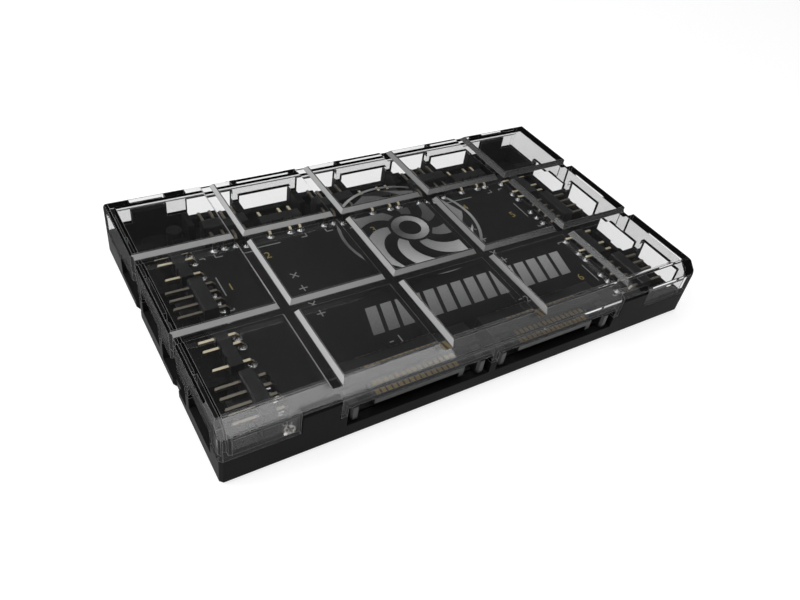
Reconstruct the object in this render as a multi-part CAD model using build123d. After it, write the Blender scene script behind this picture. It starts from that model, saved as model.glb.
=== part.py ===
import os
from math import hypot, pi, tan

from build123d import *

# All sizes are in millimetres.
# The origin is the middle of the underside: X runs along the front, Y to the rear, Z up.
# The front holds the two power inlets; the other three sides hold the fan and light sockets.

# Case
case_height = 14.4
wall = 1.9
floor = 1.2
corner_cut = 0.6          # chamfer on the upright corners
foot_cut = 0.5            # chamfer round the underside
parting_height = 6.1      # top of the tray walls
seat_gap = 0.08           # between the tray walls and the foot of the cover

# Clear cover
cover_top = 2.2
bevel_run = 2.8           # front and rear top bevels
bevel_drop = 2.8
bevel_edge_cut = 0.2      # softens the edges of the bevels
bevel_thickness = 2.5     # square through the bevels
side_edge_cut = 0.5       # small chamfer along the left and right top edges
groove_pitch = 23.5
groove_width = 3.4
groove_depth = 1.2
groove_flank = 0.7        # plan run of each groove side
groove_lip = 0.15         # chamfer along the top of each groove side
side_groove_depth = 0.6   # where the cross grooves run down the end walls
groove_columns = 4
groove_rows = 2

# Circuit board
board_lift = 1.3          # air under the board
board_thickness = 1.2
board_setback = 9.2       # outer case face to the board edge, on the three socket sides
board_front_gap = 0.3     # board edge to the inside of the front wall
board_corner_cut = 1.0

# Sockets
side_sockets = 4
rear_sockets = 6
socket_gap = 1.65         # wall left between two windows
side_row_front = 2.55     # inside of the front wall to the first window
side_row_rear = 9.9       # last window to the inside of the rear wall
rear_row_side = 23.25     # middle of the last socket to the case face
pwm_plug_clear = 0.37     # window beyond the header, on each side
pwm_pin_rise = 3.3        # pin axis above the board
pwm_window_above = 2.6    # window edges from the pin axis
pwm_window_below = 3.3
argb_plug_clear = 1.52
argb_pin_rise = 1.3
argb_window_above = 2.7
argb_window_below = 2.8
rib_reach = 5.4           # dividers between the sockets, inwards from the wall
rib_relief = 0.1          # dividers stand back from the window sides

# Pins and headers
pin_size = 0.64
pin_spacing = 2.54
pin_places = 4
pin_bend = 0.6            # slanted run at the bend
pin_tip_cut = 0.18
pin_below_board = 0.6
pin_hole = 1.1
pin_hole_sides = 8
leg_gap = 2.2             # back of the header body to the pin legs
pwm_body_depth = 3.0
pwm_body_height = 4.9
pwm_body_edge = 0.2       # chamfer along the top of the body
pwm_pin_reach = 4.9       # pins in front of the header body
lock_width = 5.4          # friction tongue under the fan pins
lock_thickness = 0.9
lock_reach = 3.6
lock_gap = 0.5            # pins to the tongue
argb_body_depth = 2.6
argb_pin_reach = 3.1
argb_post_notch = 0.35    # notches between the places of the light header
argb_blank_place = 1      # the place without a pin

# Power inlets
inlet_width = 32.7        # opening in the front wall
inlet_divider = 1.6       # upright between the two openings
inlet_sill_drop = 0.2     # opening edges from the board
inlet_head_rise = 4.7
inlet_body_clear = 0.95   # housing to the sides of its opening
inlet_body_start = 5.2    # case face to the housing block
inlet_body_depth = 4.6
inlet_body_height = 4.4
tongue_margin = 0.94      # tongue beyond the outer contacts
tongue_rise = 2.0
tongue_thickness = 1.23
tongue_setback = 0.9      # case face to the tongue
tongue_key_width = 1.2
tongue_key_drop = 1.3
arm_width = 2.0
arm_height = 3.5
arm_setback = 0.5
arm_tip_cut = 0.5
contact_count = 15
contact_spacing = 1.27
contact_width = 0.84
contact_thickness = 0.15
contact_setback = 0.5     # tongue edge to the contact tips
contact_tail = 1.0
contact_foot = 0.9

# Snap tabs of the tray
tab_clear = 0.25          # tab sides to the cover notch
front_tab_gap = 1.6       # inlet opening to the tab
front_tab_width = 7.4
front_tab_rise = 4.1      # above the tray walls
rear_tab_gap = 3.75       # last window to the tab
rear_tab_width = 7.2
rear_tab_rise = 2.7
tab_slot = 0.9            # open slot above each tab

# Screws, bosses and hooks
screw_side_inset = 4.7    # screw from the board edges
screw_front_inset = 1.6
screw_shank = 1.6
screw_head = 2.8
screw_head_height = 1.1
screw_head_cut = 0.35     # chamfer round the top of the head
screw_length = 2.6
screw_clear = 0.2         # shank to the board hole
pilot_clear = 0.02        # shank to the boss bore
recess_width = 0.45
recess_length = 1.6
recess_depth = 0.6
boss_width = 3.2
rest_inset = 8.4          # rear rests from the board edges
post_width = 3.4
post_gap = 0.2            # hook posts to the board edge
post_rib_gap = 0.5        # hook posts to the last divider
hook_width = 2.0
hook_reach = 0.6          # over the board
hook_height = 1.0
hook_clear = 0.1
pad_width = 5.6
pad_inset = 2.2           # low round pads under the rear tabs, from the wall
pad_height = 0.5

# Parts under the board
chip_length = 5.0
chip_width = 4.4
chip_height = 0.9
chip_standoff = 0.1
chip_corner_cut = 0.2
chip_leads = 7
chip_lead_pitch = 0.65
chip_lead_width = 0.25
chip_lead_reach = 1.0
chip_lead_thickness = 0.2
chip_spread = 24.0        # between the two chips
chip_row = -6.0
capacitor_length = 2.0
capacitor_width = 1.25
capacitor_height = 0.8
capacitor_edge_cut = 0.1
capacitor_columns = 6
capacitor_pitch = 12.0
capacitor_row = 4.0

# Derived sizes
header_width = pin_places * pin_spacing
pwm_window_width = header_width + 2 * pwm_plug_clear
argb_window_width = header_width + 2 * argb_plug_clear
socket_pitch = (pwm_window_width + argb_window_width) / 2 + socket_gap
side_row_length = (side_sockets - 1) * socket_pitch
rear_row_length = (rear_sockets - 1) * socket_pitch
window_halves = (pwm_window_width + argb_window_width) / 2
case_depth = 2 * wall + side_row_front + window_halves + side_row_length + side_row_rear
case_width = rear_row_length + 2 * rear_row_side
tongue_width = (contact_count - 1) * contact_spacing + contact_width + 2 * tongue_margin

# Derived levels and edges
half_width = case_width / 2
half_depth = case_depth / 2
cover_foot = parting_height + seat_gap
board_bottom = floor + board_lift
board_top = board_bottom + board_thickness
pwm_pin_level = board_top + pwm_pin_rise
argb_pin_level = board_top + argb_pin_rise
board_half_width = half_width - board_setback
board_front = -half_depth + wall + board_front_gap
board_rear = half_depth - board_setback
side_row_start = -half_depth + wall + side_row_front + pwm_window_width / 2
side_row_middle = side_row_start + side_row_length / 2
rear_row_end = rear_row_length / 2 + argb_window_width / 2
inlet_offset = (inlet_divider + inlet_width) / 2
front_tab_offset = inlet_offset + inlet_width / 2 + front_tab_gap + front_tab_width / 2
rear_tab_offset = rear_row_end + rear_tab_gap + rear_tab_width / 2
screw_places = [
    (side * (board_half_width - screw_side_inset), board_front + screw_front_inset)
    for side in (-1, 1)
]
rest_places = [
    (side * (board_half_width - rest_inset), board_rear - rest_inset)
    for side in (-1, 1)
]
post_x = rear_row_end + socket_gap - rib_relief + post_rib_gap + post_width / 2
post_y = board_rear + post_gap + post_width / 2


def block(x, y, z):
    # A box from the low and high ends along each axis.
    size = [high - low for low, high in (x, y, z)]
    middle = [(low + high) / 2 for low, high in (x, y, z)]
    return Pos(*middle) * Box(*size)


def case_outline(inset, low, high):
    # The case in plan with its upright corners cut, inset from the outer face.
    width = case_width - 2 * inset
    depth = case_depth - 2 * inset
    plan = Rectangle(width, depth)
    plan = chamfer(plan.vertices(), corner_cut)
    return Pos(0, 0, low) * extrude(plan, high - low)


def wall_frames():
    # One frame for each wall with sockets: local X runs inwards, local Y along the wall.
    left = Location((-half_width, side_row_middle, 0))
    right = Location((half_width, side_row_middle, 0), (0, 0, 180))
    rear = Location((0, half_depth, 0), (0, 0, -90))
    return left, right, rear


def row_places(count):
    # Socket middles along a wall. Fan and light sockets take turns.
    return [(i - (count - 1) / 2) * socket_pitch for i in range(count)]


def socket_list():
    # Each socket as its name, kind and frame.
    left, right, rear = wall_frames()
    sockets = []
    left_names = ["mainboard", "mainboard", "1", "1"]
    right_names = ["6", "6", "5", "5"]
    rear_names = ["2", "2", "3", "3", "4", "4"]
    for i, y in enumerate(row_places(side_sockets)):
        kind = ("pwm", "argb")[i % 2]
        sockets.append((left_names[i], kind, left * Pos(0, y, 0)))
        sockets.append((right_names[i], kind, right * Pos(0, -y, 0)))
    for i, y in enumerate(row_places(rear_sockets)):
        kind = ("pwm", "argb")[i % 2]
        sockets.append((rear_names[i], kind, rear * Pos(0, y, 0)))
    return sockets


def window(kind):
    # The opening for one plug, through the wall.
    if kind == "pwm":
        width = pwm_window_width
        low = pwm_pin_level - pwm_window_below
        high = pwm_pin_level + pwm_window_above
    else:
        width = argb_window_width
        low = argb_pin_level - argb_window_below
        high = argb_pin_level + argb_window_above
    return block((-wall, 2 * wall), (-width / 2, width / 2), (low, high))


def all_windows():
    return [frame * window(kind) for _, kind, frame in socket_list()]


def inlet_openings():
    openings = []
    for side in (-1, 1):
        middle = side * inlet_offset
        openings.append(block(
            (middle - inlet_width / 2, middle + inlet_width / 2),
            (-half_depth - wall, -half_depth + 2 * wall),
            (board_top - inlet_sill_drop, board_top + inlet_head_rise),
        ))
    return openings


def row_ribs(count, flip):
    # Dividers beside every window of a row, at the level of the tray walls.
    thickness = socket_gap - 2 * rib_relief
    ribs = []
    for i, y in enumerate(row_places(count)):
        half = (pwm_window_width, argb_window_width)[i % 2] / 2
        sides = (-1, 1) if i == 0 else (1,)
        for side in sides:
            middle = flip * (y + side * (half + socket_gap / 2))
            ribs.append(block(
                (wall / 2, wall + rib_reach),
                (middle - thickness / 2, middle + thickness / 2),
                (floor / 2, parting_height),
            ))
    return ribs


def side_grooves():
    # Upright grooves in the end walls, in line with the cross grooves of the cover.
    flank = groove_flank * side_groove_depth / groove_depth
    mouth = groove_width / 2
    bed = mouth - flank
    profile = make_face(Polyline(
        (-side_groove_depth, -mouth - flank),
        (side_groove_depth, -bed),
        (side_groove_depth, bed),
        (-side_groove_depth, mouth + flank),
        close=True,
    ))
    groove = extrude(profile, case_height * 2)
    cuts = []
    for row in range(groove_rows):
        y = (row - (groove_rows - 1) / 2) * groove_pitch
        cuts.append(Location((-half_width, y, -case_height / 2)) * groove)
        cuts.append(Location((half_width, y, -case_height / 2), (0, 0, 180)) * groove)
    return cuts


def tab_places():
    # Each snap tab as its middle, width, height above the walls and side of the case.
    places = []
    for side in (-1, 1):
        places.append((side * front_tab_offset, front_tab_width, front_tab_rise, -1))
        places.append((side * rear_tab_offset, rear_tab_width, rear_tab_rise, 1))
    return places


def tab_block(x, width, low, high, side, past):
    # A tab or its notch, in the thickness of the front or rear wall.
    ends = sorted((side * (half_depth + past), side * (half_depth - wall - past)))
    return block((x - width / 2, x + width / 2), ends, (low, high))


def hook_post(x):
    # A post behind the board with a short hook over its rear edge.
    post = Pos(x, post_y, parting_height / 2) * Cylinder(post_width / 2, parting_height)
    hook_low = board_top + hook_clear
    hook = block(
        (x - hook_width / 2, x + hook_width / 2),
        (board_rear - hook_reach, post_y),
        (hook_low, hook_low + hook_height),
    )
    return post + hook


def corner_pad(x):
    # A low round pad on the floor, against the rear wall.
    top = floor + pad_height
    return Pos(x, half_depth - wall - pad_inset, top / 2) * Cylinder(pad_width / 2, top)


def make_base_tray():
    tray = case_outline(0, 0, parting_height)
    tray = chamfer(tray.faces().sort_by(Axis.Z)[0].edges(), foot_cut)
    tray -= case_outline(wall, floor, parting_height * 2)
    left, right, rear = wall_frames()
    rows = ((left, side_sockets, 1), (right, side_sockets, -1), (rear, rear_sockets, 1))
    for frame, count, flip in rows:
        for rib in row_ribs(count, flip):
            tray += frame * rib
    for x, width, rise, side in tab_places():
        tray += tab_block(x, width, parting_height / 2, parting_height + rise, side, 0)
    for x, y in screw_places + rest_places:
        tray += Pos(x, y, board_bottom / 2) * Cylinder(boss_width / 2, board_bottom)
    for side in (-1, 1):
        tray += hook_post(side * post_x)
        tray += corner_pad(side * rear_tab_offset)
    tray -= all_windows()
    tray -= inlet_openings()
    tray -= side_grooves()
    pilot = screw_shank / 2 + pilot_clear
    pilot_low = board_top - screw_length - pilot_clear
    for x, y in screw_places:
        tray -= Pos(x, y, (pilot_low + board_top) / 2) * Cylinder(pilot, board_top - pilot_low)
    return tray


def bevel_profile(depth_half, top, run, drop, low):
    # Half-depth section in Y and Z with a bevel at the front and the rear.
    return make_face(Polyline(
        (-depth_half, low),
        (-depth_half, top - drop),
        (-depth_half + run, top),
        (depth_half - run, top),
        (depth_half, top - drop),
        (depth_half, low),
        close=True,
    ))


def along_width(section, length):
    # Extrudes a Y and Z section along X, about the middle.
    return Pos(-length / 2, 0, 0) * extrude(Plane.YZ * section, length)


def cover_cavity():
    # The inner bevel lies parallel to the outer one.
    pull = 1 + bevel_thickness * hypot(1 / bevel_run, 1 / bevel_drop)
    inner_drop = bevel_drop * (pull - wall / bevel_run) - cover_top
    inner_run = bevel_run * (pull - cover_top / bevel_drop) - wall
    section = bevel_profile(half_depth - wall, case_height - cover_top, inner_run, inner_drop, 0)
    return along_width(section, case_width - 2 * wall) & case_outline(wall, 0, case_height)


def top_grooves():
    # Grooves with sloping flanks that cut the top into raised panels.
    bed = groove_width / 2 - groove_flank
    neck = groove_width / 2 - groove_flank * groove_lip / groove_depth
    mouth = neck + groove_lip
    top = case_height
    section = make_face(Polyline(
        (-bed, top - groove_depth),
        (-neck, top - groove_lip),
        (-mouth, top),
        (-mouth, top + groove_depth),
        (mouth, top + groove_depth),
        (mouth, top),
        (neck, top - groove_lip),
        (bed, top - groove_depth),
        close=True,
    ))
    cuts = []
    for row in range(groove_rows):
        y = (row - (groove_rows - 1) / 2) * groove_pitch
        cuts.append(Pos(0, y, 0) * along_width(section, case_width * 2))
    lengthways = extrude(Plane.XZ * section, case_depth, both=True)
    for column in range(groove_columns):
        x = (column - (groove_columns - 1) / 2) * groove_pitch
        cuts.append(Pos(x, 0, 0) * lengthways)
    return cuts


def above_walls(edge):
    return edge.center().Z > case_height - 1.5 * bevel_drop


def make_clear_cover():
    section = bevel_profile(half_depth, case_height, bevel_run, bevel_drop, cover_foot)
    cover = along_width(section, case_width)
    cover = chamfer(cover.edges().filter_by(Axis.X).filter_by(above_walls), bevel_edge_cut)
    cover = chamfer(cover.edges().filter_by(Axis.Y).group_by(Axis.Z)[-1], side_edge_cut)
    cover &= case_outline(0, 0, case_height)
    cover -= cover_cavity()
    cover -= top_grooves()
    cover -= side_grooves()
    cover -= all_windows()
    cover -= inlet_openings()
    for x, width, rise, side in tab_places():
        notch_top = parting_height + rise + tab_slot
        cover -= tab_block(x, width + 2 * tab_clear, 0, notch_top, side, seat_gap)
    return cover


def leg_places():
    # Pin legs of every socket in the frame of the case.
    legs = []
    for name, kind, frame in socket_list():
        body = pwm_body_depth if kind == "pwm" else argb_body_depth
        for y in pin_offsets(kind):
            legs.append(frame * Pos(board_setback + body + leg_gap, y, 0))
    return legs


def make_circuit_board():
    depth = board_rear - board_front
    plan = Rectangle(2 * board_half_width, depth)
    plan = chamfer(plan.vertices(), board_corner_cut)
    plan = Pos(0, (board_rear + board_front) / 2) * plan
    for x, y in screw_places:
        plan -= Pos(x, y) * Circle(screw_shank / 2 + screw_clear)
    for leg in leg_places():
        plan -= Pos(leg.position.X, leg.position.Y) * RegularPolygon(pin_hole / 2, pin_hole_sides)
    return Pos(0, 0, board_bottom) * extrude(plan, board_thickness)


def make_screw():
    # A pan head screw with a cross recess, standing on the board.
    head = Cylinder(screw_head / 2, screw_head_height)
    head = chamfer(head.edges().sort_by(Axis.Z)[-1], screw_head_cut)
    slot = Box(recess_length, recess_width, 2 * recess_depth)
    recess = slot + Rot(0, 0, 90) * slot
    head -= Pos(0, 0, screw_head_height / 2) * recess
    head = Pos(0, 0, board_top + screw_head_height / 2) * head
    shank = Pos(0, 0, board_top - screw_length / 2) * Cylinder(screw_shank / 2, screw_length)
    return head + shank


def pin_offsets(kind):
    # Pin places along the wall. A light socket leaves one place empty.
    places = [(i - (pin_places - 1) / 2) * pin_spacing for i in range(pin_places)]
    if kind == "argb":
        places.pop(argb_blank_place)
    return places


def make_pin(tip, leg, level):
    # A square pin that comes out of the body and bends down through the board.
    half = pin_size / 2
    lean = half * tan(pi / 8)
    foot = board_bottom - pin_below_board
    profile = make_face(Polyline(
        (tip, level + half),
        (leg - pin_bend + lean, level + half),
        (leg + half, level - pin_bend + lean),
        (leg + half, foot),
        (leg - half, foot),
        (leg - half, level - pin_bend - lean),
        (leg - pin_bend - lean, level - half),
        (tip, level - half),
        close=True,
    ))
    pin = extrude(Plane.XZ * profile, half, both=True)
    return chamfer(pin.faces().sort_by(Axis.X)[0].edges(), pin_tip_cut)


def make_pins(kind):
    if kind == "pwm":
        body, reach, level = pwm_body_depth, pwm_pin_reach, pwm_pin_level
    else:
        body, reach, level = argb_body_depth, argb_pin_reach, argb_pin_level
    pin = make_pin(board_setback - reach, board_setback + body + leg_gap, level)
    return [Pos(0, y, 0) * pin for y in pin_offsets(kind)]


def make_pwm_header(pins):
    # The body of a fan socket with the friction tongue under its pins.
    half = header_width / 2
    front, back = board_setback, board_setback + pwm_body_depth
    body = block((front, back), (-half, half), (board_top, board_top + pwm_body_height))
    body = chamfer(body.faces().sort_by(Axis.Z)[-1].edges().filter_by(Axis.Y), pwm_body_edge)
    lock_top = pwm_pin_level - pin_size / 2 - lock_gap
    lock_section = make_face(Polyline(
        (front + pwm_body_depth / 2, lock_top),
        (front - lock_reach + lock_thickness, lock_top),
        (front - lock_reach, lock_top - lock_thickness / 2),
        (front - lock_reach, lock_top - lock_thickness),
        (front + pwm_body_depth / 2, lock_top - lock_thickness),
        close=True,
    ))
    lock = extrude(Plane.XZ * lock_section, lock_width / 2, both=True)
    body += lock
    return body - pins


def make_argb_header(pins):
    # A breakaway strip of square posts, notched between the places.
    half = header_width / 2
    front, back = board_setback, board_setback + argb_body_depth
    top = 2 * argb_pin_level - board_top
    body = block((front, back), (-half, half), (board_top, top))
    notch = Pos(0, 0, board_top) * extrude(
        Rectangle(argb_post_notch * 2 ** 0.5, argb_post_notch * 2 ** 0.5, rotation=45), top - board_top)
    for i in range(1, pin_places):
        y = (i - pin_places / 2) * pin_spacing
        for x in (front, back):
            body -= Pos(x, y, 0) * notch
    return body - pins


def make_contact():
    # One contact: along the tongue, through the block and down to the board.
    strip = contact_thickness
    low = board_top + tongue_rise + tongue_thickness
    tip = -half_depth + tongue_setback + contact_setback
    back = -half_depth + inlet_body_start + inlet_body_depth + contact_tail
    profile = make_face(Polyline(
        (tip, low),
        (back - strip, low),
        (back - strip, board_top),
        (back + contact_foot, board_top),
        (back + contact_foot, board_top + strip),
        (back, board_top + strip),
        (back, low),
        (back - strip, low + strip),
        (tip + strip, low + strip),
        close=True,
    ))
    return Pos(-contact_width / 2, 0, 0) * extrude(Plane.YZ * profile, contact_width)


def make_contacts():
    contact = make_contact()
    middle = (contact_count - 1) / 2
    return [Pos((i - middle) * contact_spacing, 0, 0) * contact for i in range(contact_count)]


def make_sata_inlet(contacts):
    # Block, tongue with its key, and a guide arm at each end.
    face = -half_depth
    front = face + inlet_body_start
    half = inlet_width / 2 - inlet_body_clear
    back = front + inlet_body_depth
    inlet = block((-half, half), (front, back), (board_top, board_top + inlet_body_height))
    low = board_top + tongue_rise
    tongue_front = face + tongue_setback
    edge = tongue_width / 2
    inlet += block((-edge, edge), (tongue_front, front), (low, low + tongue_thickness))
    inlet += block((edge - tongue_key_width, edge), (tongue_front, front), (low - tongue_key_drop, low))
    for side in (-1, 1):
        ends = sorted((side * half, side * (half - arm_width)))
        arm = block(ends, (face + arm_setback, front), (board_top, board_top + arm_height))
        arm = chamfer(arm.faces().sort_by(Axis.Y)[0].edges().filter_by(Axis.Z), arm_tip_cut)
        inlet += arm
    return inlet - contacts


def make_chip():
    # A flat package under the board with a row of bent leads along each side.
    top = board_bottom - chip_standoff
    body = block(
        (-chip_length / 2, chip_length / 2),
        (-chip_width / 2, chip_width / 2),
        (top - chip_height, top),
    )
    body = chamfer(body.edges().filter_by(Axis.Z), chip_corner_cut)
    level = top - chip_height / 2
    foot = chip_width / 2 + chip_lead_reach
    knee = chip_width / 2 + chip_lead_reach / 2
    bend = knee - chip_lead_thickness
    for i in range(chip_leads):
        x = (i - (chip_leads - 1) / 2) * chip_lead_pitch
        span = (x - chip_lead_width / 2, x + chip_lead_width / 2)
        for side in (-1, 1):
            body += block(span, sorted((0, side * knee)), (level, level + chip_lead_thickness))
            body += block(span, sorted((side * bend, side * knee)), (level, board_bottom))
            sole = board_bottom - chip_lead_thickness
            body += block(span, sorted((side * bend, side * foot)), (sole, board_bottom))
    return body


def make_capacitors():
    capacitor = Box(capacitor_length, capacitor_width, capacitor_height)
    capacitor = chamfer(capacitor.edges().filter_by(Axis.Z), capacitor_edge_cut)
    level = board_bottom - capacitor_height / 2
    middle = (capacitor_columns - 1) / 2
    return [
        Pos((i - middle) * capacitor_pitch, capacitor_row, level) * capacitor
        for i in range(capacitor_columns)
    ]


def export_node(name, shapes):
    # Writes one node: a single solid, or a group of separate solids.
    shape = Compound(children=list(shapes)) if isinstance(shapes, list) else shapes
    shape.label = name
    export_step(shape, os.path.join("parts", name + ".step"))


def export_sockets():
    for name, kind, frame in socket_list():
        pins = make_pins(kind)
        make_header = make_pwm_header if kind == "pwm" else make_argb_header
        export_node(f"{kind}_header_{name}", frame * make_header(pins))
        export_node(f"{kind}_pins_{name}", [frame * pin for pin in pins])


def export_inlets():
    contacts = make_contacts()
    inlet = make_sata_inlet(contacts)
    for number, side in ((1, -1), (2, 1)):
        frame = Pos(side * inlet_offset, 0, 0)
        export_node(f"sata_inlet_{number}", frame * inlet)
        export_node(f"sata_contacts_{number}", [frame * contact for contact in contacts])


def main():
    os.makedirs("parts", exist_ok=True)
    export_node("base_tray", make_base_tray())
    export_node("clear_cover", make_clear_cover())
    export_node("circuit_board", make_circuit_board())
    screw = make_screw()
    export_node("board_screws", [Pos(x, y, 0) * screw for x, y in screw_places])
    export_sockets()
    export_inlets()
    chip = make_chip()
    export_node("fan_signal_chip", Pos(-chip_spread / 2, chip_row, 0) * chip)
    export_node("light_signal_chip", Pos(chip_spread / 2, chip_row, 0) * chip)
    export_node("board_capacitors", make_capacitors())


main()
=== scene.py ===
import math

import bmesh
import bpy
from mathutils import Matrix, Vector


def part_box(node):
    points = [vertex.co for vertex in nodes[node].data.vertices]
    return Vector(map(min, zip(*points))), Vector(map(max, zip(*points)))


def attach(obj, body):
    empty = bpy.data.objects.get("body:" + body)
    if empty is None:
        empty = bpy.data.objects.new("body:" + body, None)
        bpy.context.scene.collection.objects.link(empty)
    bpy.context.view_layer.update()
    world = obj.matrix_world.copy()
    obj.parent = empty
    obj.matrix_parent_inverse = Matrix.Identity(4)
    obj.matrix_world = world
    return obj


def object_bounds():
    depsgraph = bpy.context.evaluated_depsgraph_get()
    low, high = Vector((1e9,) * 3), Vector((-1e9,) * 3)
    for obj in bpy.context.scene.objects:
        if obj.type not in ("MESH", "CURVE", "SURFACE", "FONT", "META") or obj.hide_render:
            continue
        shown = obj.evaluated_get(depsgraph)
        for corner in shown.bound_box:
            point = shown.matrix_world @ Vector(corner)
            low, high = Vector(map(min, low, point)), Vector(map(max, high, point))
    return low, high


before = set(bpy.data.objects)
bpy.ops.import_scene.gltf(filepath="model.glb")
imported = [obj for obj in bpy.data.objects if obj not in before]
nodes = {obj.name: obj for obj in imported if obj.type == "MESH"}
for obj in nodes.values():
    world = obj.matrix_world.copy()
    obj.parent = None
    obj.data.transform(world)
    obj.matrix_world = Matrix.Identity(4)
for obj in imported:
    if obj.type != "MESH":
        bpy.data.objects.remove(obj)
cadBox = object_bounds()
mm = 0.001
print("frame loaded,", len(nodes), "nodes")


def linear(hexColour):
    parts = [int(hexColour[i:i + 2], 16) / 255 for i in (1, 3, 5)]
    return tuple(c / 12.92 if c <= 0.04045 else ((c + 0.055) / 1.055) ** 2.4 for c in parts) + (1.0,)


def addNode(tree, kind, values=None, links=None, **settings):
    node = tree.nodes.new(kind)
    for key, value in settings.items():
        setattr(node, key, value)
    for key, value in (values or {}).items():
        node.inputs[key].default_value = value
    for key, source in (links or {}).items():
        tree.links.new(source, node.inputs[key])
    return node


def newMaterial(name):
    mat = bpy.data.materials.new(name)
    mat.use_nodes = True
    mat.node_tree.nodes.clear()
    return mat, mat.node_tree


noiseSpread = {"From Min": 0.3, "From Max": 0.7}  # where most values of a noise texture lie


# moulded ABS

trayLook = {
    "dark": "#101010", "light": "#161616", "ior": 1.53, "rough": (0.46, 0.58), "gloss": 0.05,
    "grit": 0.30,           # mm, coarser than real spark grit, so that it shows
    "flow": 16.0,           # mm between slow changes of tone
    "bump": (0.35, 0.012),  # strength, and height in mm
    "edge": 0.25,           # mm, edges are never knife sharp
}


def makeTrayPlastic():
    # ABS moulded in a spark-eroded tool: satin black, fine grit that breaks up the highlight
    mat, tree = newMaterial("absMouldedSatinBlack")
    place = addNode(tree, "ShaderNodeTexCoord").outputs["Object"]
    grit = addNode(tree, "ShaderNodeTexNoise", {"Scale": 1 / (trayLook["grit"] * mm), "Detail": 2.0},
                   {"Vector": place})
    flow = addNode(tree, "ShaderNodeTexNoise", {"Scale": 1 / (trayLook["flow"] * mm), "Detail": 3.0},
                   {"Vector": place})
    tone = addNode(tree, "ShaderNodeMix", {6: linear(trayLook["dark"]), 7: linear(trayLook["light"])},
                   {0: flow.outputs["Fac"]}, data_type="RGBA")
    low, high = trayLook["rough"]
    rough = addNode(tree, "ShaderNodeMapRange", {**noiseSpread, "To Min": low, "To Max": high},
                    {"Value": flow.outputs["Fac"]})
    soft = addNode(tree, "ShaderNodeBevel", {"Radius": trayLook["edge"] * mm}, samples=4)
    strength, height = trayLook["bump"]
    bump = addNode(tree, "ShaderNodeBump", {"Strength": strength, "Distance": height * mm},
                   {"Height": grit.outputs["Fac"], "Normal": soft.outputs["Normal"]})
    body = addNode(tree, "ShaderNodeBsdfPrincipled",
                   {"IOR": trayLook["ior"], "Specular IOR Level": trayLook["gloss"]},
                   {"Base Color": tone.outputs[2], "Roughness": rough.outputs["Result"],
                    "Normal": bump.outputs["Normal"]})
    addNode(tree, "ShaderNodeOutputMaterial", links={"Surface": body.outputs["BSDF"]})
    return mat


# clear polycarbonate

coverLook = {
    "colour": "#f2f2f2", "ior": 1.585, "rough": (0.006, 0.02),
    "drift": 9.0,                 # mm between slow changes of polish
    "mirror": "#ffffff",
    "glare": 0.60,                # share of the mirror reflection kept, as through a polarising filter
    "glareTop": 0.03,             # the most that it may be
    "totalFrom": 0.98,            # Fresnel value from which the plastic reflects totally and stays dark
    "satin": "#d8d8d8", "satinRough": 0.62, "satinGloss": 0.25,
    "satinGrit": 0.25,            # mm, coarser than real tool marks, so that it shows
    "satinBump": (0.3, 0.01),     # strength, and height in mm
    "satinShare": (0.66, 0.1),    # at the two ends of the reach; the drop along X is painted shade
    "paintedShadeReach": (-22.0, 38.0),  # mm along X
    "grooveBed": 13.25,           # mm, the satin sides of the grooves lie above this
    "grooveLean": (0.504, 0.1),   # upward part of their normal, and the play around it
    "edge": 0.15,                 # mm, rounding of the edges
    "edgeTurn": (0.995, 0.93),    # turn of the rounded normal, as a cosine: no line, full line
    # share of pale satin along the edges, a painted highlight
    "paintedEdgeHighlightShare": 0.4,
    "shadow": "#eeeeee",          # light that passes through
}


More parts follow.
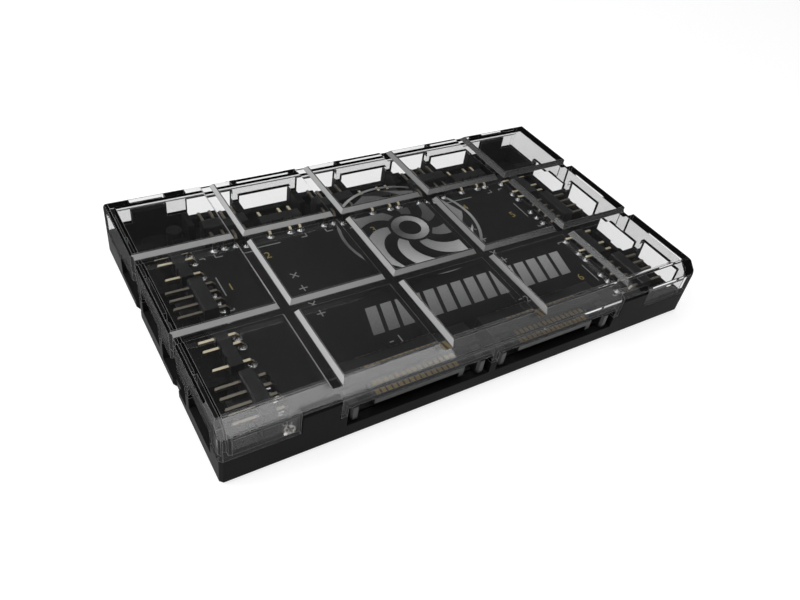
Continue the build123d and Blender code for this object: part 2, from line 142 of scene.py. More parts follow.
def makeCoverPlastic():
    # polycarbonate moulded in a polished tool: clear, dark where it totally reflects;
    # the sides of the grooves keep the satin of the milled tool and read as pale lines
    mat, tree = newMaterial("polycarbonateMouldedClear")
    place = addNode(tree, "ShaderNodeTexCoord").outputs["Object"]
    flatNormal = addNode(tree, "ShaderNodeNewGeometry").outputs["True Normal"]
    spot = addNode(tree, "ShaderNodeSeparateXYZ", links={0: place})
    lean = addNode(tree, "ShaderNodeSeparateXYZ", links={0: flatNormal})

    # polished plastic
    drift = addNode(tree, "ShaderNodeTexNoise", {"Scale": 1 / (coverLook["drift"] * mm), "Detail": 2.0},
                    {"Vector": place})
    low, high = coverLook["rough"]
    polish = addNode(tree, "ShaderNodeMapRange", {**noiseSpread, "To Min": low, "To Max": high},
                     {"Value": drift.outputs["Fac"]})
    bend = addNode(tree, "ShaderNodeBsdfRefraction",
                   {"Color": linear(coverLook["colour"]), "IOR": coverLook["ior"]},
                   {"Roughness": polish.outputs["Result"]})
    shine = addNode(tree, "ShaderNodeBsdfAnisotropic", {"Color": linear(coverLook["mirror"])},
                    {"Roughness": polish.outputs["Result"]})
    rim = addNode(tree, "ShaderNodeFresnel", {"IOR": coverLook["ior"]})
    glare = addNode(tree, "ShaderNodeMath", {1: coverLook["glare"]}, {0: rim.outputs[0]},
                    operation="MULTIPLY")
    glare = addNode(tree, "ShaderNodeMath", {1: coverLook["glareTop"]}, {0: glare.outputs[0]},
                    operation="MINIMUM")
    partial = addNode(tree, "ShaderNodeMath", {1: coverLook["totalFrom"]}, {0: rim.outputs[0]},
                      operation="LESS_THAN")
    glare = addNode(tree, "ShaderNodeMath", links={0: glare.outputs[0], 1: partial.outputs[0]},
                    operation="MULTIPLY")
    clear = addNode(tree, "ShaderNodeMixShader",
                    links={0: glare.outputs[0], 1: bend.outputs[0], 2: shine.outputs[0]})

    # satin sides of the grooves
    grit = addNode(tree, "ShaderNodeTexNoise", {"Scale": 1 / (coverLook["satinGrit"] * mm), "Detail": 2.0},
                   {"Vector": place})
    strength, height = coverLook["satinBump"]
    bump = addNode(tree, "ShaderNodeBump", {"Strength": strength, "Distance": height * mm},
                   {"Height": grit.outputs["Fac"]})
    satin = addNode(tree, "ShaderNodeBsdfPrincipled",
                    {"Base Color": linear(coverLook["satin"]), "IOR": coverLook["ior"],
                     "Roughness": coverLook["satinRough"], "Specular IOR Level": coverLook["satinGloss"]},
                    {"Normal": bump.outputs["Normal"]})
    above = addNode(tree, "ShaderNodeMath", {1: coverLook["grooveBed"] * mm}, {0: spot.outputs["Z"]},
                    operation="GREATER_THAN")
    upward = addNode(tree, "ShaderNodeMath", links={0: lean.outputs["Z"]}, operation="ABSOLUTE")
    slope, play = coverLook["grooveLean"]
    sloped = addNode(tree, "ShaderNodeMath", {1: slope, 2: play}, {0: upward.outputs[0]}, operation="COMPARE")
    inGroove = addNode(tree, "ShaderNodeMath", links={0: above.outputs[0], 1: sloped.outputs[0]},
                       operation="MULTIPLY")
    # the satin share drops along X: painted shade that darkens the satin lines towards +X
    start, end = coverLook["paintedShadeReach"]
    most, least = coverLook["satinShare"]
    paintedLightFade = addNode(tree, "ShaderNodeMapRange",
                   {"From Min": start * mm, "From Max": end * mm, "To Min": most, "To Max": least},
                   {"Value": spot.outputs["X"]})
    share = addNode(tree, "ShaderNodeMath", links={0: inGroove.outputs[0], 1: paintedLightFade.outputs["Result"]},
                    operation="MULTIPLY")

    # pale satin mixed in along the rounded edges: painted highlight lines
    soft = addNode(tree, "ShaderNodeBevel", {"Radius": coverLook["edge"] * mm}, samples=4)
    turned = addNode(tree, "ShaderNodeVectorMath", links={0: soft.outputs["Normal"], 1: flatNormal},
                     operation="DOT_PRODUCT")
    noLine, fullLine = coverLook["edgeTurn"]
    line = addNode(tree, "ShaderNodeMapRange",
                   {"From Min": noLine, "From Max": fullLine, "To Max": coverLook["paintedEdgeHighlightShare"]},
                   {"Value": turned.outputs["Value"]})
    share = addNode(tree, "ShaderNodeMath", links={0: share.outputs[0], 1: line.outputs["Result"]},
                    operation="MAXIMUM")
    solid = addNode(tree, "ShaderNodeMixShader",
                    links={0: share.outputs[0], 1: clear.outputs["Shader"], 2: satin.outputs["BSDF"]})

    # light passes through to the board
    through = addNode(tree, "ShaderNodeBsdfTransparent", {"Color": linear(coverLook["shadow"])})
    path = addNode(tree, "ShaderNodeLightPath")
    pick = addNode(tree, "ShaderNodeMixShader",
                   links={0: path.outputs["Is Shadow Ray"], 1: solid.outputs["Shader"],
                          2: through.outputs["BSDF"]})
    addNode(tree, "ShaderNodeOutputMaterial", links={"Surface": pick.outputs["Shader"]})
    return mat


# board finishes

boardLook = {
    "dark": "#0f0f0f", "light": "#161616", "ior": 1.52, "rough": (0.48, 0.60), "gloss": 0.2,
    "weave": 0.55,         # mm between glass yarns
    "cloud": 7.0,          # mm between slow changes of tone
    "bump": (0.08, 0.01),  # strength, and height in mm
}


def makeBoardMask():
    # epoxy glass board under matte black solder mask: a trace of the glass weave shows in the gloss
    mat, tree = newMaterial("solderMaskMatteBlack")
    place = addNode(tree, "ShaderNodeTexCoord").outputs["Object"]
    weave = addNode(tree, "ShaderNodeTexChecker", {"Scale": 1 / (boardLook["weave"] * mm)}, {"Vector": place})
    cloud = addNode(tree, "ShaderNodeTexNoise", {"Scale": 1 / (boardLook["cloud"] * mm), "Detail": 4.0},
                    {"Vector": place})
    tone = addNode(tree, "ShaderNodeMix", {6: linear(boardLook["dark"]), 7: linear(boardLook["light"])},
                   {0: cloud.outputs["Fac"]}, data_type="RGBA")
    low, high = boardLook["rough"]
    rough = addNode(tree, "ShaderNodeMapRange", {**noiseSpread, "To Min": low, "To Max": high},
                    {"Value": cloud.outputs["Fac"]})
    strength, height = boardLook["bump"]
    bump = addNode(tree, "ShaderNodeBump", {"Strength": strength, "Distance": height * mm},
                   {"Height": weave.outputs["Fac"]})
    body = addNode(tree, "ShaderNodeBsdfPrincipled",
                   {"IOR": boardLook["ior"], "Specular IOR Level": boardLook["gloss"]},
                   {"Base Color": tone.outputs[2], "Roughness": rough.outputs["Result"],
                    "Normal": bump.outputs["Normal"]})
    addNode(tree, "ShaderNodeOutputMaterial", links={"Surface": body.outputs["BSDF"]})
    return mat


headerLook = {
    "dark": "#0e0e0f", "light": "#171718", "ior": 1.53, "rough": (0.30, 0.42), "gloss": 0.4,
    "flow": 1.2,          # mm between flow marks
    "bump": (0.2, 0.01),  # strength, and height in mm
    "edge": 0.1,          # mm, rounding of the edges
}


def makeHeaderNylon():
    # glass-filled nylon, moulded: black with a slight sheen and faint flow marks
    mat, tree = newMaterial("nylonMouldedBlack")
    place = addNode(tree, "ShaderNodeTexCoord").outputs["Object"]
    flow = addNode(tree, "ShaderNodeTexNoise", {"Scale": 1 / (headerLook["flow"] * mm), "Detail": 4.0},
                   {"Vector": place})
    tone = addNode(tree, "ShaderNodeMix", {6: linear(headerLook["dark"]), 7: linear(headerLook["light"])},
                   {0: flow.outputs["Fac"]}, data_type="RGBA")
    low, high = headerLook["rough"]
    rough = addNode(tree, "ShaderNodeMapRange", {**noiseSpread, "To Min": low, "To Max": high},
                    {"Value": flow.outputs["Fac"]})
    soft = addNode(tree, "ShaderNodeBevel", {"Radius": headerLook["edge"] * mm}, samples=4)
    strength, height = headerLook["bump"]
    bump = addNode(tree, "ShaderNodeBump", {"Strength": strength, "Distance": height * mm},
                   {"Height": flow.outputs["Fac"], "Normal": soft.outputs["Normal"]})
    body = addNode(tree, "ShaderNodeBsdfPrincipled",
                   {"IOR": headerLook["ior"], "Specular IOR Level": headerLook["gloss"]},
                   {"Base Color": tone.outputs[2], "Roughness": rough.outputs["Result"],
                    "Normal": bump.outputs["Normal"]})
    addNode(tree, "ShaderNodeOutputMaterial", links={"Surface": body.outputs["BSDF"]})
    return mat


def makeMetal(name, dark, light, rough, grain):
    # plated metal: its tone and polish drift a little over the surface, grain in mm
    mat, tree = newMaterial(name)
    place = addNode(tree, "ShaderNodeTexCoord").outputs["Object"]
    drift = addNode(tree, "ShaderNodeTexNoise", {"Scale": 1 / (grain * mm), "Detail": 3.0}, {"Vector": place})
    tone = addNode(tree, "ShaderNodeMix", {6: linear(dark), 7: linear(light)}, {0: drift.outputs["Fac"]},
                   data_type="RGBA")
    low, high = rough
    polish = addNode(tree, "ShaderNodeMapRange", {**noiseSpread, "To Min": low, "To Max": high},
                     {"Value": drift.outputs["Fac"]})
    body = addNode(tree, "ShaderNodeBsdfPrincipled", {"Metallic": 1.0},
                   {"Base Color": tone.outputs[2], "Roughness": polish.outputs["Result"]})
    addNode(tree, "ShaderNodeOutputMaterial", links={"Surface": body.outputs["BSDF"]})
    return mat


pinLook = {"drift": 0.8, "paintedTopLight": (0.35, 0.8)}  # mm, and the upward part of the normal from the painted shade of the sides to the painted highlight of the top


def makePinMetal(name, side, paintedTopColour, rough):
    # square pin punched from plated strip: faces that look up get a painted highlight, the sides a painted
    # shade
    mat, tree = newMaterial(name)
    place = addNode(tree, "ShaderNodeTexCoord").outputs["Object"]
    normal = addNode(tree, "ShaderNodeNewGeometry").outputs["Normal"]
    drift = addNode(tree, "ShaderNodeTexNoise", {"Scale": 1 / (pinLook["drift"] * mm), "Detail": 3.0},
                    {"Vector": place})
    lean = addNode(tree, "ShaderNodeSeparateXYZ", links={0: normal})
    steep, level = pinLook["paintedTopLight"]
    paintedTopLight = addNode(tree, "ShaderNodeMapRange", {"From Min": steep, "From Max": level},
                     {"Value": lean.outputs["Z"]})
    tone = addNode(tree, "ShaderNodeMix", {6: linear(side), 7: linear(paintedTopColour)}, {0: paintedTopLight.outputs["Result"]},
                   data_type="RGBA")
    low, high = rough
    polish = addNode(tree, "ShaderNodeMapRange", {**noiseSpread, "To Min": low, "To Max": high},
                     {"Value": drift.outputs["Fac"]})
    body = addNode(tree, "ShaderNodeBsdfPrincipled", {"Metallic": 1.0},
                   {"Base Color": tone.outputs[2], "Roughness": polish.outputs["Result"]})
    addNode(tree, "ShaderNodeOutputMaterial", links={"Surface": body.outputs["BSDF"]})
    return mat


filmLook = {"ior": 1.5, "grain": 0.5}  # grain in mm


def makeFilm(name, dark, light, rough):
    # printed epoxy ink or a fired skin: thin and slightly uneven in tone
    mat, tree = newMaterial(name)
    place = addNode(tree, "ShaderNodeTexCoord").outputs["Object"]
    film = addNode(tree, "ShaderNodeTexNoise", {"Scale": 1 / (filmLook["grain"] * mm), "Detail": 3.0},
                   {"Vector": place})
    tone = addNode(tree, "ShaderNodeMix", {6: linear(dark), 7: linear(light)}, {0: film.outputs["Fac"]},
                   data_type="RGBA")
    body = addNode(tree, "ShaderNodeBsdfPrincipled", {"IOR": filmLook["ior"], "Roughness": rough},
                   {"Base Color": tone.outputs[2]})
    addNode(tree, "ShaderNodeOutputMaterial", links={"Surface": body.outputs["BSDF"]})
    return mat


silverLook = {
    "dark": "#2c2c2c", "light": "#cfcfcf", "ior": 1.5, "rough": 0.42,
    "grain": 0.35,  # mm, coarser than real flakes, so that it shows
    "grainSpread": (0.2, 0.8), "grainDepth": 0.06,
    "contrast": 2.0,
}


def makeSilverInk():
    # silver ink printed on the back of the clear plate: each field is painted from dark to light, a painted
    # reflection of the mirror ink, with a fine grain
    mat, tree = newMaterial("mirrorInkPrintedSilver")
    place = addNode(tree, "ShaderNodeTexCoord").outputs["Object"]
    paintedLightFade = addNode(tree, "ShaderNodeAttribute", attribute_name="paintedLightFade")
    grain = addNode(tree, "ShaderNodeTexNoise", {"Scale": 1 / (silverLook["grain"] * mm), "Detail": 3.0},
                    {"Vector": place})
    low, high = silverLook["grainSpread"]
    depth = silverLook["grainDepth"]
    level = addNode(tree, "ShaderNodeMapRange",
                    {"From Min": low, "From Max": high, "To Min": -depth, "To Max": depth},
                    {"Value": grain.outputs["Fac"]})
    level = addNode(tree, "ShaderNodeMath", links={0: level.outputs["Result"], 1: paintedLightFade.outputs["Fac"]},
                    operation="ADD", use_clamp=True)
    level = addNode(tree, "ShaderNodeMath", {1: silverLook["contrast"]}, {0: level.outputs[0]},
                    operation="POWER")
    tone = addNode(tree, "ShaderNodeMix", {6: linear(silverLook["dark"]), 7: linear(silverLook["light"])},
                   {0: level.outputs[0]}, data_type="RGBA")
    body = addNode(tree, "ShaderNodeBsdfPrincipled",
                   {"IOR": silverLook["ior"], "Roughness": silverLook["rough"]},
                   {"Base Color": tone.outputs[2]})
    addNode(tree, "ShaderNodeOutputMaterial", links={"Surface": body.outputs["BSDF"]})
    return mat


trayPlastic = makeTrayPlastic()
coverPlastic = makeCoverPlastic()
boardMask = makeBoardMask()
headerNylon = makeHeaderNylon()
# pin colours are given as side, then top: painted shade, then painted highlight
lightPinGold = makePinMetal("brassGoldPlated", "#5c4f34", "#fdf3d6", (0.42, 0.54))
fanPinTin = makePinMetal("brassTinPlated", "#45413b", "#928c80", (0.36, 0.48))
contactGold = makeMetal("bronzeGoldFlashed", "#7c6b49", "#9c885c", (0.28, 0.42), 0.8)
screwNickel = makeMetal("steelNickelPlated", "#a9a7a3", "#cfcdc9", (0.22, 0.34), 1.0)
solderTin = makeMetal("solderTinReflowed", "#b4b5b6", "#dcdddd", (0.18, 0.32), 0.7)
inkGrey = makeFilm("epoxyInkPrintedGrey", "#7d7f7f", "#979999", 0.55)
inkGold = makeFilm("epoxyInkPrintedGold", "#857641", "#a08f55", 0.5)
silverInk = makeSilverInk()
ceramicTan = makeFilm("ceramicFiredTan", "#7a6248", "#8d7457", 0.5)

for name, obj in nodes.items():
    if name == "base_tray":
        look = trayPlastic
    elif name == "clear_cover":
        look = coverPlastic
    elif name == "circuit_board":
        look = boardMask
    elif name == "board_screws":
        look = screwNickel
    elif name.startswith("sata_contacts"):
        look = contactGold
    elif name.startswith("argb_pins"):
        look = lightPinGold
    elif name.startswith("pwm_pins"):
        look = fanPinTin
    elif name == "board_capacitors":
        look = ceramicTan
    else:
        look = headerNylon
    obj.material_slots[0].material = look
print("finishes set")


def addPiece(name, bm, look, smooth=False):
    bmesh.ops.recalc_face_normals(bm, faces=bm.faces[:])
    mesh = bpy.data.meshes.new(name)
    bm.to_mesh(mesh)
    bm.free()
    mesh.materials.append(look)
    if smooth:
        for face in mesh.polygons:
            face.use_smooth = len(face.vertices) == 4
    piece = bpy.data.objects.new(name, mesh)
    bpy.context.scene.collection.objects.link(piece)
    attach(piece, "root")
    return piece


def stackRings(bm, rings):
    # closes a stack of point rings into one skin
    loops = [[bm.verts.new(p) for p in ring] for ring in rings]
    for low, high in zip(loops, loops[1:]):
        for i in range(len(low)):
            n = (i + 1) % len(low)
            bm.faces.new((low[i], low[n], high[n], high[i]))
    bm.faces.new(loops[0][::-1])
    bm.faces.new(loops[-1])


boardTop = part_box("circuit_board")[1].z
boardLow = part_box("circuit_board")[0].z
coverPlate = 2.2 * mm
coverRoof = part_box("clear_cover")[1].z - coverPlate  # underside of the clear plate
faceX, faceY = cadBox[1].x / mm, cadBox[1].y / mm


# solder joints of the pin legs, in mm

jointShape = {"pad": 1.02, "padRise": 0.04, "foot": 0.84, "neck": 0.38, "rise": 0.62, "curl": 2.2,
              "sides": 24, "rings": 6}
sideRow = [-24.8, -11.1, 2.6, 16.3]                        # middles of the sockets along Y
rearRow = [-34.25, -20.55, -6.85, 6.85, 20.55, 34.25]      # and along X
legDepth = {"fan": 14.4, "light": 14.0}                    # case face to the legs
legSpread = {"fan": (-3.81, -1.27, 1.27, 3.81), "light": (-3.81, 1.27, 3.81)}


def legPlaces():
    places = []
    for i, y in enumerate(sideRow):
        kind = ("fan", "light")[i % 2]
        for step in legSpread[kind]:
            places.append((-faceX + legDepth[kind], y + step))
            places.append((faceX - legDepth[kind], y - step))
    for i, x in enumerate(rearRow):
        kind = ("fan", "light")[i % 2]
        for step in legSpread[kind]:
            places.append((x + step, faceY - legDepth[kind]))
    return places


def addJoint(bm, x, y, z, up):
    profile = [(jointShape["pad"], 0.0), (jointShape["pad"], jointShape["padRise"])]
    for k in range(jointShape["rings"] + 1):
        t = k / jointShape["rings"]
        spare = (jointShape["foot"] - jointShape["neck"]) * (1 - t) ** jointShape["curl"]
        reach = jointShape["neck"] + spare  # hollow fillet of wetted solder
        profile.append((reach, jointShape["padRise"] + jointShape["rise"] * t))
    turns = [2 * math.pi * s / jointShape["sides"] for s in range(jointShape["sides"])]
    stackRings(bm, [[((x + r * math.cos(a)) * mm, (y + r * math.sin(a)) * mm, z + up * h * mm) for a in turns]
                    for r, h in profile])


bm = bmesh.new()
for x, y in legPlaces():
    addJoint(bm, x, y, boardTop, 1)
    addJoint(bm, x, y, boardLow, -1)
addPiece("solderJoints", bm, solderTin, smooth=True)
print("solder joints:", len(legPlaces()))


# solder at the feet of the inlet contacts, in mm

footShape = {
    "count": 15, "pitch": 1.27, "inlet": 17.15, "row": -23.35, "wide": 1.02, "long": 1.9, "corner": 0.8,
    # shares of width and length, and height, from the board up
    "levels": ((1.0, 1.0, 0.0), (1.0, 1.0, 0.05), (0.86, 0.78, 0.12), (0.72, 0.5, 0.22), (0.5, 0.3, 0.26)),
}

bm = bmesh.new()
for side in (-1, 1):
    for i in range(footShape["count"]):
        x = side * footShape["inlet"] + (i - (footShape["count"] - 1) / 2) * footShape["pitch"]
        rings = []
        for wide, long, rise in footShape["levels"]:
            a, b = footShape["wide"] * wide / 2, footShape["long"] * long / 2
            c, d = a * footShape["corner"], b * footShape["corner"]
            corners = [(-a, -d), (-c, -b), (c, -b), (a, -d), (a, d), (c, b), (-c, b), (-a, d)]
            rings.append([((x + u) * mm, (footShape["row"] + v) * mm, boardTop + rise * mm)
                          for u, v in corners])
        stackRings(bm, rings)
addPiece("contactSolder", bm, solderTin, smooth=True)
print("contact solder done")


# printed marks on the board, in mm

printLook = {"lift": 0.004, "film": 0.02, "line": 0.26, "digit": 3.0, "smallDigit": 2.8, "cross": 0.75,
             "plus": 0.95, "dash": (-2.6, -1.7), "arrow": ((-0.8, -0.6), (0.8, -0.6), (0.0, 0.8))}
sideLines = [(0.6, 1.1), (5.2, 11.4), (17.9, 18.4)]    # along Y at sockets 1 and 5, open in places
lowerLines = [(-27.0, -26.5), (-22.4, -16.2), (-7.5, -7.0)]
rearLines = [(-11.2, -9.6), (-4.9, 4.2), (9.6, 11.0)]  # along X, from the middle of a pair of rear sockets
sideLineX, rearLineY, lineTick = 41.0, 17.8, 1.1
rearPairs = (-27.4, 0.0, 27.4)
digits = [("1", -39.1, 7.4), ("2", -27.7, 14.4), ("3", -0.2, 14.4),
          ("4", 27.2, 14.4), ("5", 37.5, 7.3), ("6", 37.5, -19.7)]
inletDigits = [("1", -13.4, -20.3), ("2", 20.6, -20.3)]
markColumns = (-25.1, 23.6)
crossRows, plusRows = (6.0, -3.4), (1.4, -7.2)
pinOneMarks = [(-43.9, -27.0), (43.9, -27.0)]


def addSlab(bm, outline, low, film):
    stackRings(bm, [[(x * mm, y * mm, z) for x, y in outline] for z in (low, low + film)])


def addStroke(bm, start, end, width, low, film):
    a, b = Vector(start), Vector(end)
    along = (b - a).normalized()
    side = Vector((-along.y, along.x)) * width / 2
    nose = along * width / 4
    addSlab(bm, [a - nose, a - side, b - side, b + nose, b + side, a + side], low, film)


def addDigit(bm, text, x, y, size, low, film):
    curve = bpy.data.curves.new("digit", "FONT")
    curve.body = text
    curve.size = size * mm
    curve.extrude = film / 2
    curve.align_x = "CENTER"
    curve.align_y = "CENTER"
    holder = bpy.data.objects.new("digit", curve)
    bpy.context.scene.collection.objects.link(holder)
    bpy.context.view_layer.update()
    shape = bpy.data.meshes.new_from_object(holder.evaluated_get(bpy.context.evaluated_depsgraph_get()))
    shape.transform(Matrix.Translation((x * mm, y * mm, low + film / 2)))
    bm.from_mesh(shape)
    bpy.data.objects.remove(holder)
    bpy.data.curves.remove(curve)
    bpy.data.meshes.remove(shape)


inkLow = boardTop + printLook["lift"] * mm
inkFilm = printLook["film"] * mm
lineWidth = printLook["line"]
bm = bmesh.new()
for side in (-1, 1):
    for low, high in sideLines + (lowerLines if side > 0 else []):
        addStroke(bm, (side * sideLineX, low), (side * sideLineX, high), lineWidth, inkLow, inkFilm)
    ends = [sideLines[0][0], sideLines[-1][1]] + ([lowerLines[0][0], lowerLines[-1][1]] if side > 0 else [])
    for y in ends:
        addStroke(bm, (side * sideLineX, y), (side * (sideLineX + lineTick), y), lineWidth, inkLow, inkFilm)
for middle in rearPairs:
    for low, high in rearLines:
        addStroke(bm, (middle + low, rearLineY), (middle + high, rearLineY), lineWidth, inkLow, inkFilm)
    for x in (rearLines[0][0], rearLines[-1][1]):
        addStroke(bm, (middle + x, rearLineY), (middle + x, rearLineY + lineTick), lineWidth, inkLow, inkFilm)
for x in markColumns:
    reach = printLook["cross"]
    for y in crossRows:
        addStroke(bm, (x - reach, y - reach), (x + reach, y + reach), lineWidth, inkLow, inkFilm)
        addStroke(bm, (x - reach, y + reach), (x + reach, y - reach), lineWidth, inkLow, inkFilm)
    reach = printLook["plus"]
    for y in plusRows:
        addStroke(bm, (x - reach, y), (x + reach, y), lineWidth, inkLow, inkFilm)
        addStroke(bm, (x, y - reach), (x, y + reach), lineWidth, inkLow, inkFilm)
for x, y in pinOneMarks:
    addSlab(bm, [(x + u, y + v) for u, v in printLook["arrow"]], inkLow, inkFilm)
for text, x, y in inletDigits:
    addDigit(bm, text, x, y, printLook["smallDigit"], inkLow, inkFilm)
    start, end = printLook["dash"]
    addStroke(bm, (x + start, y), (x + end, y), lineWidth, inkLow, inkFilm)
addPiece("boardLines", bm, inkGrey)
bm = bmesh.new()
for text, x, y in digits:
    addDigit(bm, text, x, y, printLook["digit"], inkLow, inkFilm)
addPiece("boardDigits", bm, inkGold)
print("board print done")


# silver rotor and speed bars printed under the clear plate, in mm and radians

# the shades below are painted reflection: every field of the silver is painted from dark to light
rotorLook = {
    "middle": (1.5, 2.6), "hub": 4.4, "hubBore": 2.6, "ring": (16.0, 16.7), "ringParts": 6,
    "blades": 7, "root": 5.2, "tip": 15.2, "rootWide": 0.42, "tipWide": 0.56,
    "start": 0.3, "sweep": 0.95, "sweepCurve": 1.4, "steps": 10,
    "paintedGlintFrom": 0.9,  # angle of the light: blades turned towards it get a painted glint, those turned away a painted shade
    "rootShade": (0.15, 0.45), "tipShade": (0.35, 0.6), "hubShade": (0.9, 0.2), "ringShade": (0.75, 0.3),
}
# the bars carry painted reflection too: darker at the foot, lighter at the top and along the row
barLook = {"count": 15, "start": -23.2, "pitch": 3.4, "wide": 2.5, "low": -24.4, "high": -17.2, "lean": 2.0,
           "shade": 0.42, "shadeGain": 0.2, "shadeDrop": 0.08, "shadeRise": 0.1}
panelPitch, panelGap = 23.5, 4.1   # groove spacing, and the unprinted strip over each groove
panelColumns, panelRows = 5, 3
weldReach = 0.002


def addField(bm, paintedLightFade, points, shades):
    # one flat printed field, each point with its place between dark and light
    verts = [bm.verts.new((x * mm, y * mm, coverRoof - printLook["lift"] * mm)) for x, y in points]
    for vert, shade in zip(verts, shades):
        vert[paintedLightFade] = shade
    bm.faces.new(verts)


def addArcField(bm, paintedLightFade, middle, inner, outer, start, end, shades):
    for k in range(rotorLook["steps"]):
        a, b = (start + (end - start) * (k + j) / rotorLook["steps"] for j in (0, 1))
        points = [(middle[0] + r * math.cos(t), middle[1] + r * math.sin(t))
                  for r, t in ((inner, a), (outer, a), (outer, b), (inner, b))]
        low, high = (shades[0] + (shades[1] - shades[0]) * (k + j) / rotorLook["steps"] for j in (0, 1))
        addField(bm, paintedLightFade, points, (low, low, high, high))


def addBlade(bm, paintedLightFade, middle, turn, shades):
    def edge(t, share):
        r = rotorLook["root"] + (rotorLook["tip"] - rotorLook["root"]) * t
        wide = rotorLook["rootWide"] + (rotorLook["tipWide"] - rotorLook["rootWide"]) * t
        a = turn + rotorLook["sweep"] * t ** rotorLook["sweepCurve"] + wide * (share - 0.5)
        return middle[0] + r * math.cos(a), middle[1] + r * math.sin(a)

    for k in range(rotorLook["steps"]):
        a, b = k / rotorLook["steps"], (k + 1) / rotorLook["steps"]
        low, high = (shades[0] + (shades[1] - shades[0]) * t for t in (a, b))
        addField(bm, paintedLightFade, [edge(a, 0), edge(b, 0), edge(b, 1), edge(a, 1)], (low, high, high, low))


def trimToPanel(bm, column, row):
    # keeps the print that lies on one raised panel of the cover
    middle = ((column - (panelColumns - 1) / 2) * panelPitch, (row - (panelRows - 1) / 2) * panelPitch)
    reach = (panelPitch - panelGap) / 2
    for axis in (0, 1):
        for way in (-1, 1):
            spot, aim = Vector((0, 0, 0)), Vector((0, 0, 0))
            spot[axis] = (middle[axis] + way * reach) * mm
            aim[axis] = way
            bmesh.ops.bisect_plane(bm, geom=bm.verts[:] + bm.edges[:] + bm.faces[:], plane_co=spot,
                                   plane_no=aim, clear_outer=True)


def thicken(bm, film):
    # a flat print becomes a closed film
    bmesh.ops.remove_doubles(bm, verts=bm.verts[:], dist=weldReach * mm)
    paintedLightFade = bm.verts.layers.float["paintedLightFade"]
    faces = bm.faces[:]
    rims = [edge for edge in bm.edges if len(edge.link_faces) == 1]
    twin = {}
    for vert in bm.verts[:]:
        twin[vert] = bm.verts.new(vert.co - Vector((0, 0, film)))
        twin[vert][paintedLightFade] = vert[paintedLightFade]
    for face in faces:
        bm.faces.new([twin[v] for v in reversed(face.verts)])
    for rim in rims:
        a, b = rim.verts
        bm.faces.new((a, b, twin[b], twin[a]))


flat = bmesh.new()
paintedLightFade = flat.verts.layers.float.new("paintedLightFade")
middle = rotorLook["middle"]
for i in range(rotorLook["blades"]):
    turn = 2 * math.pi * i / rotorLook["blades"] + rotorLook["start"]
    # painted glint: each blade is painted lighter the nearer it turns to the light
    paintedGlint = 0.5 - 0.5 * math.cos(turn - rotorLook["paintedGlintFrom"])
    root, tip = (base + gain * paintedGlint for base, gain in (rotorLook["rootShade"], rotorLook["tipShade"]))
    addBlade(flat, paintedLightFade, middle, turn, (root, tip))
bore, hub = rotorLook["hubBore"], rotorLook["hub"]
addArcField(flat, paintedLightFade, middle, bore, hub, 0, math.pi, rotorLook["hubShade"])
addArcField(flat, paintedLightFade, middle, bore, hub, math.pi, 2 * math.pi, rotorLook["hubShade"][::-1])
ringStep = 2 * math.pi / rotorLook["ringParts"]
for i in range(rotorLook["ringParts"]):
    shades = rotorLook["ringShade"] if i % 2 == 0 else rotorLook["ringShade"][::-1]
    addArcField(flat, paintedLightFade, middle, *rotorLook["ring"], i * ringStep, (i + 1) * ringStep, shades)
for i in range(barLook["count"]):
    left = barLook["start"] + i * barLook["pitch"]
    right = left + barLook["wide"]
    lean, low, high = barLook["lean"], barLook["low"], barLook["high"]
    shade = barLook["shade"] + barLook["shadeGain"] * i / barLook["count"]
    dark, light = shade - barLook["shadeDrop"], shade + barLook["shadeRise"]
    addField(flat, paintedLightFade, [(left, low), (right, low), (right + lean, high), (left + lean, high)],
             (dark, dark, light, light))
flatMesh = bpy.data.meshes.new("flatPrint")
flat.to_mesh(flatMesh)
flat.free()
bm = bmesh.new()
for column in range(panelColumns):
    for row in range(panelRows):
        field = bmesh.new()
        field.from_mesh(flatMesh)
        trimToPanel(field, column, row)
        trimmed = bpy.data.meshes.new("panelPrint")
        field.to_mesh(trimmed)
        field.free()
        bm.from_mesh(trimmed)
        bpy.data.meshes.remove(trimmed)
bpy.data.meshes.remove(flatMesh)
thicken(bm, inkFilm)
addPiece("coverPrint", bm, silverInk)
print("cover print done")


# stage

stageLook = {
    "paper": "#a4a4a4", "white": "#ffffff", "rough": 0.9,
    "glow": 0.74,    # brings the paper to white where it is seen, also in gloss and through the cover
    "sky": 0.14,
    "reach": 3.0,    # m
    "drop": 0.0002,  # m, keeps the floor clear of the underside
}

reach = stageLook["reach"]
floorMesh = bpy.data.meshes.new("studioFloor")
floorMesh.from_pydata([(-reach, -reach, 0), (reach, -reach, 0), (reach, reach, 0), (-reach, reach, 0)], [],
                      [(0, 1, 2, 3)])
studioFloor = bpy.data.objects.new("studioFloor", floorMesh)
studioFloor.location.z = -stageLook["drop"]
bpy.context.scene.collection.objects.link(studioFloor)
floorMat, tree = newMaterial("paperBackdropWhite")  # matte paper: white, with a soft contact shadow
path = addNode(tree, "ShaderNodeLightPath")
seenBy = addNode(tree, "ShaderNodeMath",
                 links={0: path.outputs["Is Camera Ray"], 1: path.outputs["Is Glossy Ray"]},
                 operation="MAXIMUM")
seenBy = addNode(tree, "ShaderNodeMath", links={0: seenBy.outputs[0], 1: path.outputs["Is Transmission Ray"]},
                 operation="MAXIMUM")
glow = addNode(tree, "ShaderNodeMath", {1: stageLook["glow"]}, {0: seenBy.outputs[0]}, operation="MULTIPLY")
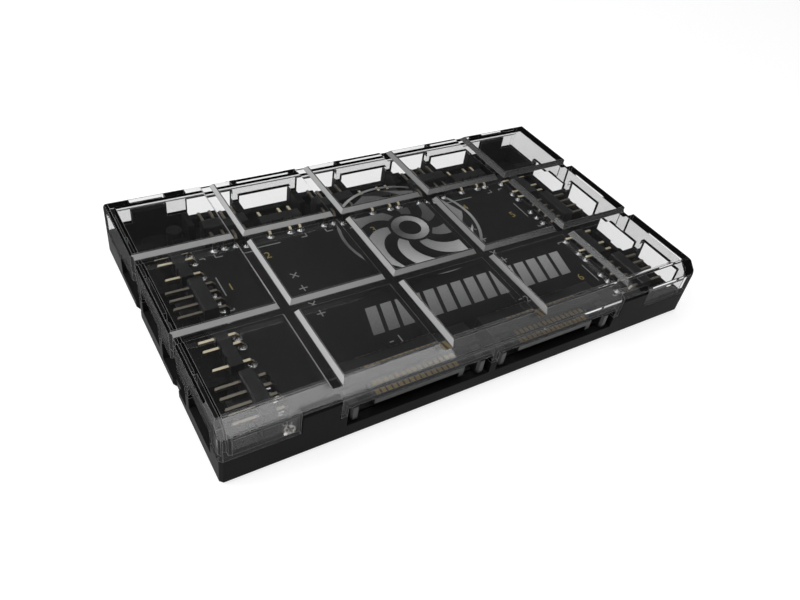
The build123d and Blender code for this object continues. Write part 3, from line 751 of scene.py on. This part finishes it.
paper = addNode(tree, "ShaderNodeBsdfPrincipled",
                {"Base Color": linear(stageLook["paper"]), "Roughness": stageLook["rough"],
                 "Emission Color": linear(stageLook["white"])},
                {"Emission Strength": glow.outputs[0]})
addNode(tree, "ShaderNodeOutputMaterial", links={"Surface": paper.outputs["BSDF"]})
floorMesh.materials.append(floorMat)

world = bpy.data.worlds.new("studioDark")
bpy.context.scene.world = world
world.use_nodes = True
world.node_tree.nodes.clear()
sky = addNode(world.node_tree, "ShaderNodeBackground",
              {"Color": linear(stageLook["white"]), "Strength": stageLook["sky"]})
addNode(world.node_tree, "ShaderNodeOutputWorld", links={"Surface": sky.outputs["Background"]})


# lamps: place in m, width and height in m, watts; the strips hang where the front bevel mirrors them

lamps = {
    "softboxLeft": ((-0.42, 0.05, 0.30), (0.55, 0.50), 2.4),
    "softboxTop": ((0.0, 0.10, 0.80), (0.70, 0.70), 2.6),
    "stripFront": ((0.277, -0.701, 0.508), (0.34, 0.18), 0.75),
    "stripSide": ((0.550, -0.606, 0.438), (0.26, 0.20), 0.16),
}
for name, (place, size, watts) in lamps.items():
    light = bpy.data.lights.new(name, "AREA")
    light.shape = "RECTANGLE"
    light.size, light.size_y = size
    light.energy = watts
    lamp = bpy.data.objects.new(name, light)
    lamp.location = place
    lamp.rotation_euler = (Vector((0, 0, 0)) - Vector(place)).to_track_quat("-Z", "Y").to_euler()
    bpy.context.scene.collection.objects.link(lamp)


# camera

viewLook = {
    "place": (-81.185, -104.935, 109.585),  # mm
    "turn": (48.477, -7.819, -30.990),  # degrees about X, Y and Z
    "focal": 731.4, "wide": 800,            # pixels of the photograph
    "sensor": 36.0, "near": 0.01,           # mm, and m
}
camData = bpy.data.cameras.new("photoCamera")
camData.sensor_width = viewLook["sensor"]
camData.lens = viewLook["focal"] / viewLook["wide"] * viewLook["sensor"]
camData.clip_start = viewLook["near"]
cam = bpy.data.objects.new("photoCamera", camData)
cam.location = [c * mm for c in viewLook["place"]]
cam.rotation_euler = [math.radians(a) for a in viewLook["turn"]]
bpy.context.scene.collection.objects.link(cam)
bpy.context.scene.camera = cam
bpy.context.scene.view_settings.view_transform = "Standard"
print("stage set")
